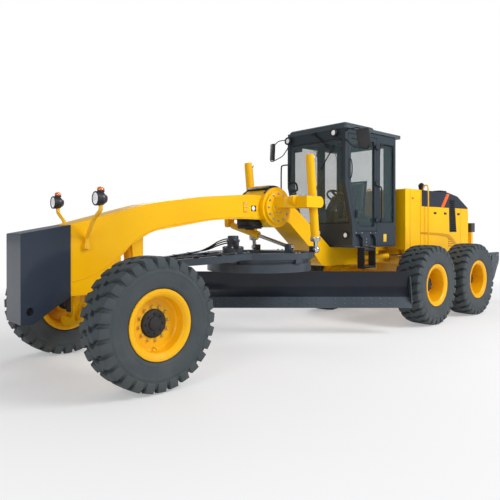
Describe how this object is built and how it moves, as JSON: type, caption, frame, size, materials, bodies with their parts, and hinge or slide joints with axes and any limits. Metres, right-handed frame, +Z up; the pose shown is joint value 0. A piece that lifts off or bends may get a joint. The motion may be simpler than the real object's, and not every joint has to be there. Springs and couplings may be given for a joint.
{
  "type": "motor grader",
  "caption": "Articulated motor grader: arched frame, enclosed cab, leaning steered front wheels, tandem rear wheels, drawbar and circle with a side-shifting blade, rear ripper.",
  "frame": {"origin": "on the ground, halfway along the machine's length, on its centre plane", "axes": "+X forwards along the machine, +Y to its left, +Z up"},
  "size_m": [10.087, 2.7783, 3.2678],
  "materials": {
    "yellow_paint": "gloss",
    "dark_paint": "satin",
    "black_steel": "satin",
    "worn_steel": "worn",
    "chrome_rod": "polished",
    "tyre_rubber": "matt",
    "clear_glass": "clear",
    "black_plastic": "matt",
    "seat_fabric": "woven",
    "engine_iron": "cast"
  },
  "bodies": {
    "front_frame": {"main_frame": "yellow_paint", "nose_plate": "dark_paint", "front_axle": "yellow_paint", "saddle": "yellow_paint", "headlamps": "yellow_paint", "cab_shell": "dark_paint", "cab_roof": "dark_paint", "cab_glass": "clear_glass", "seat": "seat_fabric", "control_console": "black_plastic", "mirrors": "black_plastic", "cab_steps": "black_steel"},
    "yoke_left": {"lean_yoke_left": "yellow_paint"},
    "yoke_right": {"lean_yoke_right": "yellow_paint"},
    "lean_bar": {"lean_bar": "yellow_paint"},
    "spindle_left": {"spindle_left": "yellow_paint"},
    "spindle_right": {"spindle_right": "yellow_paint"},
    "tie_rod_end": {"tie_rod_end": "black_steel"},
    "tie_rod": {"tie_rod": "black_steel"},
    "door_left": {"door_left": "dark_paint", "door_glass_left": "clear_glass"},
    "door_right": {"door_right": "dark_paint", "door_glass_right": "clear_glass"},
    "drawbar": {"drawbar": "dark_paint"},
    "circle": {"circle": "black_steel"},
    "blade_bracket": {"blade_bracket": "dark_paint"},
    "moldboard": {"moldboard": "black_steel", "cutting_edge": "worn_steel"},
    "lift_barrel_left": {"lift_barrel_left": "yellow_paint"},
    "lift_barrel_right": {"lift_barrel_right": "yellow_paint"},
    "lift_rod_left": {"lift_rod_left": "chrome_rod"},
    "lift_rod_right": {"lift_rod_right": "chrome_rod"},
    "centre_shift_barrel": {"centre_shift_barrel": "yellow_paint"},
    "centre_shift_rod": {"centre_shift_rod": "chrome_rod"},
    "rear_frame": {"rear_frame": "yellow_paint", "hood": "yellow_paint", "hood_grilles": "black_plastic", "exhaust": "black_steel", "tandem_cases": "yellow_paint", "engine_block": "engine_iron"},
    "articulation_barrel_left": {"articulation_barrel_left": "yellow_paint"},
    "articulation_barrel_right": {"articulation_barrel_right": "yellow_paint"},
    "articulation_rod_left": {"articulation_rod_left": "chrome_rod"},
    "articulation_rod_right": {"articulation_rod_right": "chrome_rod"},
    "ripper": {"ripper": "black_steel"},
    "ripper_barrel": {"ripper_barrel": "yellow_paint"},
    "ripper_rod": {"ripper_rod": "chrome_rod"},
    "wheel_front_left": {"tyre_front_left": "tyre_rubber", "rim_front_left": "yellow_paint"},
    "wheel_front_right": {"tyre_front_right": "tyre_rubber", "rim_front_right": "yellow_paint"},
    "wheel_middle_left": {"tyre_middle_left": "tyre_rubber", "rim_middle_left": "yellow_paint"},
    "wheel_middle_right": {"tyre_middle_right": "tyre_rubber", "rim_middle_right": "yellow_paint"},
    "wheel_rear_left": {"tyre_rear_left": "tyre_rubber", "rim_rear_left": "yellow_paint"},
    "wheel_rear_right": {"tyre_rear_right": "tyre_rubber", "rim_rear_right": "yellow_paint"}
  },
  "joints": [
    {"name": "wheel_lean_left", "type": "hinge", "parent": "front_frame", "child": "yoke_left", "pos_m": [4.0865, 0.76, 0.46], "axis": [1, 0, 0], "range_deg": [-18, 18]},
    {"name": "wheel_lean_right", "type": "hinge", "parent": "front_frame", "child": "yoke_right", "pos_m": [4.0865, -0.76, 0.46], "axis": [1, 0, 0], "range_deg": [-18, 18]},
    {"name": "lean_bar_pivot", "type": "hinge", "parent": "yoke_left", "child": "lean_bar", "pos_m": [4.0025, 0.76, 0.93], "axis": [1, 0, 0], "range_deg": [-18, 18]},
    {"name": "steering_left", "type": "hinge", "parent": "yoke_left", "child": "spindle_left", "pos_m": [4.0865, 0.76, 0.665], "axis": [0, 0, 1], "range_deg": [-45, 45]},
    {"name": "steering_right", "type": "hinge", "parent": "yoke_right", "child": "spindle_right", "pos_m": [4.0865, -0.76, 0.665], "axis": [0, 0, 1], "range_deg": [-45, 45]},
    {"name": "tie_rod_swivel", "type": "hinge", "parent": "spindle_left", "child": "tie_rod_end", "pos_m": [3.8365, 0.76, 0.63], "axis": [0, 0, 1], "range_deg": [-45, 45]},
    {"name": "tie_rod_tilt", "type": "hinge", "parent": "tie_rod_end", "child": "tie_rod", "pos_m": [3.8365, 0.76, 0.63], "axis": [1, 0, 0], "range_deg": [-18, 18]},
    {"name": "wheel_spin_front_left", "type": "hinge", "parent": "spindle_left", "child": "wheel_front_left", "pos_m": [4.0865, 1.078, 0.665], "axis": [0, 1, 0], "continuous": true},
    {"name": "wheel_spin_front_right", "type": "hinge", "parent": "spindle_right", "child": "wheel_front_right", "pos_m": [4.0865, -1.078, 0.665], "axis": [0, 1, 0], "continuous": true},
    {"name": "wheel_spin_middle_left", "type": "hinge", "parent": "rear_frame", "child": "wheel_middle_left", "pos_m": [-1.3085, 1.078, 0.665], "axis": [0, 1, 0], "continuous": true},
    {"name": "wheel_spin_middle_right", "type": "hinge", "parent": "rear_frame", "child": "wheel_middle_right", "pos_m": [-1.3085, -1.078, 0.665], "axis": [0, 1, 0], "continuous": true},
    {"name": "wheel_spin_rear_left", "type": "hinge", "parent": "rear_frame", "child": "wheel_rear_left", "pos_m": [-2.8665, 1.078, 0.665], "axis": [0, 1, 0], "continuous": true},
    {"name": "wheel_spin_rear_right", "type": "hinge", "parent": "rear_frame", "child": "wheel_rear_right", "pos_m": [-2.8665, -1.078, 0.665], "axis": [0, 1, 0], "continuous": true},
    {"name": "door_left_hinge", "type": "hinge", "parent": "front_frame", "child": "door_left", "pos_m": [-0.5535, 0.632, 2.35], "axis": [0, 0, 1], "range_deg": [0, 95]},
    {"name": "door_right_hinge", "type": "hinge", "parent": "front_frame", "child": "door_right", "pos_m": [-0.5535, -0.632, 2.35], "axis": [0, 0, -1], "range_deg": [0, 95]},
    {"name": "drawbar_lift", "type": "hinge", "parent": "front_frame", "child": "drawbar", "pos_m": [3.6665, 0, 1.18], "axis": [0, 1, 0], "range_deg": [-19, 1.5]},
    {"name": "circle_turn", "type": "hinge", "parent": "drawbar", "child": "circle", "pos_m": [1.5665, 0, 1.18], "axis": [0, 0, 1], "range_deg": [-100, 170]},
    {"name": "blade_tip", "type": "hinge", "parent": "circle", "child": "blade_bracket", "pos_m": [1.28547, -0.31212, 0.62], "axis": [-0.7431, 0.6691, 0], "range_deg": [-5, 40]},
    {"name": "blade_side_shift", "type": "slide", "parent": "blade_bracket", "child": "moldboard", "axis": [-0.7431, 0.6691, 0], "range_m": [-0.996, 0.174]},
    {"name": "lift_barrel_left_pivot", "type": "hinge", "parent": "front_frame", "child": "lift_barrel_left", "pos_m": [1.1165, 0.65, 1.98], "axis": [0, 1, 0], "range_deg": [-7.01, 0.83]},
    {"name": "lift_rod_left_slide", "type": "slide", "parent": "lift_barrel_left", "child": "lift_rod_left", "axis": [-0.1024, 0, -0.9947], "range_m": [-0.0699, 0.8619]},
    {"name": "lift_barrel_right_pivot", "type": "hinge", "parent": "front_frame", "child": "lift_barrel_right", "pos_m": [1.1165, -0.65, 1.98], "axis": [0, 1, 0], "range_deg": [-7.01, 0.83]},
    {"name": "lift_rod_right_slide", "type": "slide", "parent": "lift_barrel_right", "child": "lift_rod_right", "axis": [-0.1024, 0, -0.9947], "range_m": [-0.0699, 0.8619]},
    {"name": "centre_shift_barrel_pivot", "type": "hinge", "parent": "front_frame", "child": "centre_shift_barrel", "pos_m": [1.4565, -0.8, 1.675], "axis": [1, 0, 0], "range_deg": [-26.34, 2.35]},
    {"name": "centre_shift_rod_slide", "type": "slide", "parent": "centre_shift_barrel", "child": "centre_shift_rod", "axis": [0, 0.9693, -0.246], "range_m": [-0.0258, 0.3036]},
    {"name": "articulation", "type": "hinge", "parent": "front_frame", "child": "rear_frame", "pos_m": [-1.3135, 0, 1.14], "axis": [0, 0, 1], "range_deg": [-20, 20]},
    {"name": "articulation_barrel_left_pivot", "type": "hinge", "parent": "front_frame", "child": "articulation_barrel_left", "pos_m": [-0.6235, 0.255, 1.12], "axis": [0, 0, 1], "range_deg": [-8.27, 8.27]},
    {"name": "articulation_rod_left_slide", "type": "slide", "parent": "articulation_barrel_left", "child": "articulation_rod_left", "axis": [-0.9864, 0.1644, 0], "range_m": [-0.1289, 0.1289]},
    {"name": "articulation_barrel_right_pivot", "type": "hinge", "parent": "front_frame", "child": "articulation_barrel_right", "pos_m": [-0.6235, -0.255, 1.12], "axis": [0, 0, 1], "range_deg": [-8.27, 8.27]},
    {"name": "articulation_rod_right_slide", "type": "slide", "parent": "articulation_barrel_right", "child": "articulation_rod_right", "axis": [-0.9864, -0.1644, 0], "range_m": [-0.1289, 0.1289]},
    {"name": "ripper_lift", "type": "hinge", "parent": "rear_frame", "child": "ripper", "pos_m": [-4.1735, 0, 1.01], "axis": [0, 1, 0], "range_deg": [-28, 0]},
    {"name": "ripper_barrel_pivot", "type": "hinge", "parent": "rear_frame", "child": "ripper_barrel", "pos_m": [-4.1735, 0, 1.24], "axis": [0, 1, 0], "range_deg": [-23.75, 0.3]},
    {"name": "ripper_rod_slide", "type": "slide", "parent": "ripper_barrel", "child": "ripper_rod", "axis": [-0.9588, 0, -0.2841], "range_m": [-0.002, 0.1029]}
  ],
  "couplings": [
    {"joint": "wheel_lean_right", "follows": "wheel_lean_left", "ratio": 1},
    {"joint": "lean_bar_pivot", "follows": "wheel_lean_left", "ratio": -1},
    {"joint": "steering_right", "follows": "steering_left", "ratio": 1},
    {"joint": "tie_rod_swivel", "follows": "steering_left", "ratio": -1},
    {"joint": "tie_rod_tilt", "follows": "wheel_lean_left", "ratio": -1},
    {"joint": "lift_barrel_left_pivot", "follows": "drawbar_lift", "ratio": 0.35299},
    {"joint": "lift_rod_left_slide", "follows": "drawbar_lift", "m_per_rad": -2.5932},
    {"joint": "lift_barrel_right_pivot", "follows": "drawbar_lift", "ratio": 0.35299},
    {"joint": "lift_rod_right_slide", "follows": "drawbar_lift", "m_per_rad": -2.5932},
    {"joint": "centre_shift_barrel_pivot", "follows": "drawbar_lift", "ratio": 1.3702},
    {"joint": "centre_shift_rod_slide", "follows": "drawbar_lift", "m_per_rad": -0.90943},
    {"joint": "articulation_barrel_left_pivot", "follows": "articulation", "ratio": 0.39847},
    {"joint": "articulation_rod_left_slide", "follows": "articulation", "m_per_rad": 0.36368},
    {"joint": "articulation_barrel_right_pivot", "follows": "articulation", "ratio": 0.39847},
    {"joint": "articulation_rod_right_slide", "follows": "articulation", "m_per_rad": -0.36368},
    {"joint": "ripper_barrel_pivot", "follows": "ripper_lift", "ratio": 0.83752},
    {"joint": "ripper_rod_slide", "follows": "ripper_lift", "m_per_rad": -0.20657}
  ]
}
